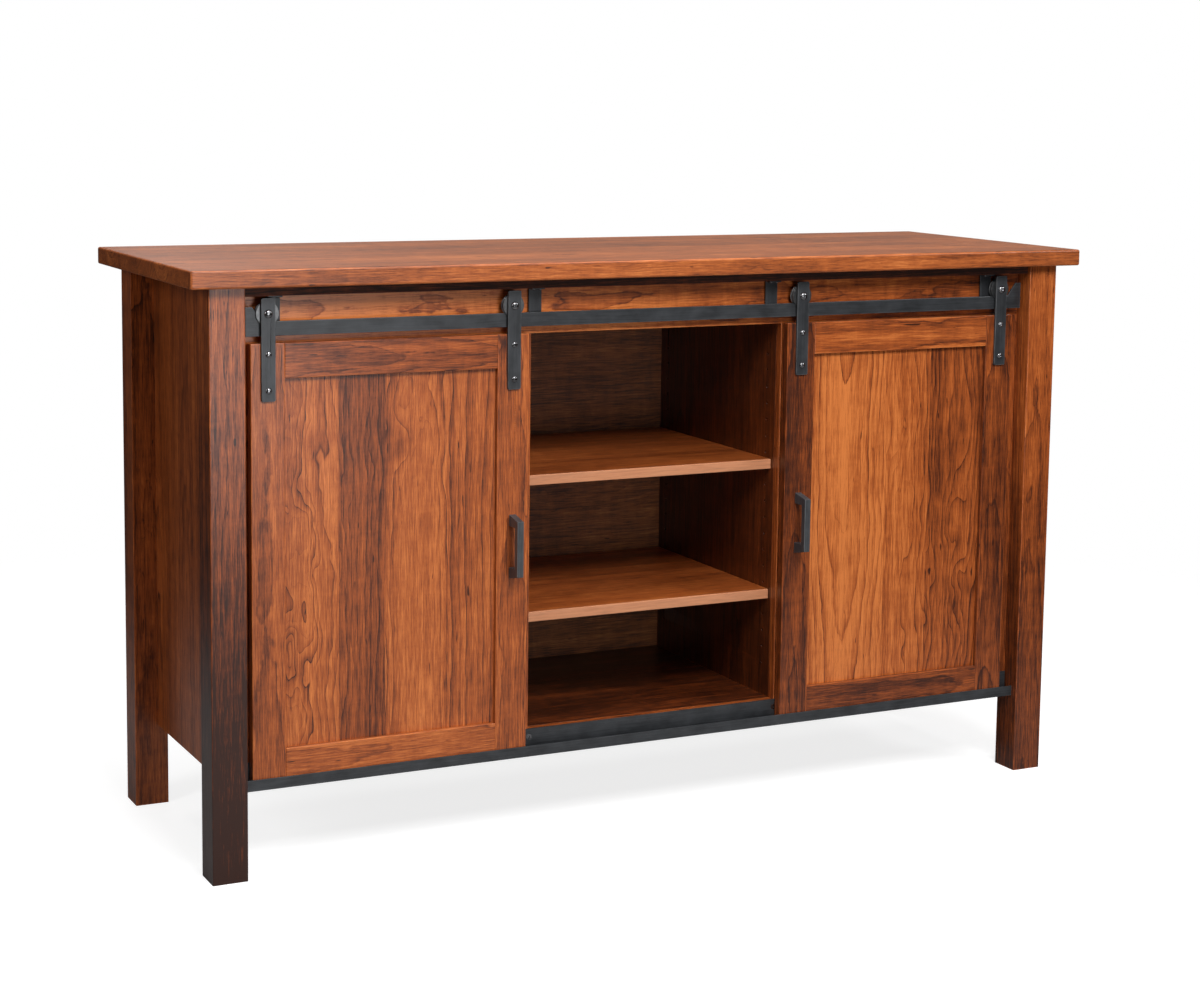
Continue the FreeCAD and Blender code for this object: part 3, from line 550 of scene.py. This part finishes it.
# doors: how dark each door's stiles and its top rail are
for door, seed, depth, top_depth in (("left_door", 41.0, 0.42, 0.5112),
                                     ("right_door", 57.0, 0.70, 0.332)):
    wooden(door + "_left_stile", "z", "y", seed=seed, depth=depth)
    wooden(door + "_right_stile", "z", "y", seed=seed + 1.9, depth=depth - 0.02, lines=0.5)
    wooden(door + "_top_rail", "x", "y", seed=seed + 3.7, depth=top_depth)
    wooden(door + "_bottom_rail", "x", "y", seed=seed + 5.3, depth=depth - 0.08)
wooden("left_door_panel", "z", "y", ease_by=0, seed=71.0, depth=0.34, lines=0.62, lean=0.03,
       wander=0.014, ring=0.0125, ripple=0.0024,
       boards=((0.26, -0.20, 0.06, 0.44), (0.47, 0.34, 0.10, 0.80), (0.76, 0.045, 0.05, 0.44),
               (1.0, 0.30, 0.05, 0.50)),
       wilds=((-0.02, -0.18, 0.30, 0.05, 0.17), (0.20, 0.03, 0.10, 0.05, 0.07)))
wooden("right_door_panel", "z", "y", ease_by=0, seed=83.0, depth=0.32, lines=0.62, lean=0.04,
       wander=0.014, ring=0.0120, ripple=0.0024,
       boards=((0.44, -0.12, 0.05, 0.27, -1.0), (0.68, 0.26, 0.06, 0.46),
               (1.0, 0.24, 0.05, 0.72)),
       swirls=((0.15, 0.17, 0.12, 0.030, 0.045),),
       wilds=((0.0, 0.02, 0.30, 0.03, 0.11), (-0.12, 0.14, 0.14, 0.05, 0.10)))

# steel
WHEEL_STEEL = (0.20, 0.205, 0.21)
FASTENER_STEEL = (0.26, 0.26, 0.27)
steel("track_bar", "x", "y", ease_by=0.0009)
for number in range(4):
    steel("standoff_%d" % (number + 1), "z", "y", ease_by=0.0005)
steel("guide_channel", "x", "y")
dress("track_spacers", blackened_steel("black_steel_spacers", ["track_spacers"]))
for door in ("left_door", "right_door"):
    for end in ("left", "right"):
        steel("%s_%s_hanger" % (door, end), "z", "y", ease_by=0.0007)
        wheel = "%s_%s_wheel" % (door, end)
        low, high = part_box(wheel)
        dress(wheel, turned_steel("turned_" + wheel, WHEEL_STEEL, 0.38, 900.0, (low + high) / 2))
        ease(wheel, 0.0004, 2)
    steel(door + "_handle", "z", "y", ease_by=0.0009, dark=(0.034, 0.036, 0.040),
          light=(0.085, 0.090, 0.097))
bright = turned_steel("bright_fasteners", FASTENER_STEEL, 0.24, 700.0)
for node in NODES:
    if node.endswith(("_screws", "_bolts", "_nuts", "_pins")):
        dress(node, bright)


# ---------------------------------------------------------------- floor, light and camera

FLOOR_REACH = 14.0
FLOOR_GLOW = 0.80
FLOOR_BOUNCE = (0.34, 0.34, 0.34, 1.0)
FLOOR_PALE = [(0.0, 0.44), (1.0, 0.48)]
FLOOR_SPECKLE = (30.0, 30.0, 30.0)
FLOOR_FADE = (1.0, 2.8)
SURROUND_LIGHT = 0.025


def lay_floor():
    """A plain pale floor round the case that fades into the white surround further off.  It
    looks white but throws back only part of the light, as a grey studio floor would."""
    mesh = bpy.data.meshes.new("floor")
    wide = FLOOR_REACH
    mesh.from_pydata([(-wide, -wide, 0), (wide, -wide, 0), (wide, wide, 0), (-wide, wide, 0)],
                     [], [(0, 1, 2, 3)])
    r = Recipe("pale_floor")
    here = r.add("ShaderNodeTexCoord").outputs["Object"]
    speckle = r.noise(here, FLOOR_SPECKLE, 3.0).outputs[0]
    shade = r.ramp(speckle, FLOOR_PALE).outputs[0]
    seen = r.add("ShaderNodeLightPath").outputs["Is Camera Ray"]
    matt = r.add("ShaderNodeBsdfDiffuse", [("Color", r.tint(seen, FLOOR_BOUNCE, shade))])
    glow = r.add("ShaderNodeEmission", [("Strength", r.sum("MULTIPLY", seen, FLOOR_GLOW))])
    lit = r.add("ShaderNodeAddShader", [(0, matt.outputs[0]), (1, glow.outputs[0])])
    clear = r.add("ShaderNodeBsdfTransparent")
    fade = r.span(r.measure("LENGTH", here), *FLOOR_FADE)
    r.show(r.add("ShaderNodeMixShader", [(0, fade), (1, lit.outputs[0]), (2, clear.outputs[0])]))
    mesh.materials.append(r.material)
    floor = bpy.data.objects.new("floor", mesh)
    bpy.context.scene.collection.objects.link(floor)


def softbox(name, place, aim, width, height, power, colour=(1.0, 1.0, 1.0)):
    """A rectangular soft light at one point, turned to face another."""
    lamp = bpy.data.lights.new(name, "AREA")
    lamp.shape = "RECTANGLE"
    lamp.size = width
    lamp.size_y = height
    lamp.energy = power
    lamp.color = colour
    box = bpy.data.objects.new(name, lamp)
    facing = (Vector(aim) - Vector(place)).to_track_quat("-Z", "Y")
    box.matrix_world = Matrix.Translation(place) @ facing.to_matrix().to_4x4()
    box.visible_camera = False
    bpy.context.scene.collection.objects.link(box)


def surround(strength):
    """An even white surround: plain white behind the case, dimmer as a light."""
    world = bpy.data.worlds.new("white_room")
    world.use_nodes = True
    tree = world.node_tree
    tree.nodes.clear()
    path = tree.nodes.new("ShaderNodeLightPath")
    mix = tree.nodes.new("ShaderNodeMixShader")
    tree.links.new(path.outputs["Is Camera Ray"], mix.inputs[0])
    for slot, power in ((1, strength), (2, 1.0)):
        light = tree.nodes.new("ShaderNodeBackground")
        light.inputs[0].default_value = (1, 1, 1, 1)
        light.inputs[1].default_value = power
        tree.links.new(light.outputs[0], mix.inputs[slot])
    output = tree.nodes.new("ShaderNodeOutputWorld")
    tree.links.new(mix.outputs[0], output.inputs[0])
    bpy.context.scene.world = world


SENSOR = 36.0
FOCAL_LENGTH = 69.81798
SHIFT = -0.1083333
EYE = Vector((-2.0169, -4.0430, 1.3780))
YAW, PITCH, ROLL = 0.46192, -0.12108, 0.01263


def set_camera():
    """A camera low and to the left of the case, looking a little down at it."""
    data = bpy.data.cameras.new("camera")
    data.sensor_width = SENSOR
    data.lens = FOCAL_LENGTH
    data.shift_y = SHIFT
    camera = bpy.data.objects.new("camera", data)
    aim = (Matrix.Rotation(-YAW, 4, "Z") @ Matrix.Rotation(math.pi / 2 + PITCH, 4, "X")
           @ Matrix.Rotation(ROLL, 4, "Z"))
    camera.matrix_world = Matrix.Translation(EYE) @ aim
    bpy.context.scene.collection.objects.link(camera)
    bpy.context.scene.camera = camera


lay_floor()
surround(SURROUND_LIGHT)
softbox("key", (-0.3, -3.1, 3.1), (0.0, -0.3, 0.7), 1.5, 1.1, 108.0)
softbox("front", (-0.1, -3.7, 0.55), (-0.6, -0.3, 0.65), 1.1, 0.9, 20.0)
softbox("right", (3.3, -2.6, 2.9), (0.3, -0.3, 0.7), 1.0, 1.2, 46.0)
softbox("overhead", (0.0, -0.5, 3.4), (0.0, -0.1, 0.0), 3.0, 1.6, 64.0)
softbox("left", (-3.6, -1.4, 2.0), (-0.6, 0.0, 0.6), 0.9, 1.4, 34.0)
softbox("backdrop", (3.3, 4.6, 1.3), (1.4, 0.0, 1.0), 6.0, 2.4, 20.0, (1.0, 0.96, 0.84))
softbox("rear", (-0.4, 3.1, 3.3), (0.0, 0.3, 0.5), 1.6, 1.0, 24.0)
set_camera()
bpy.context.scene.view_settings.view_transform = "Standard"
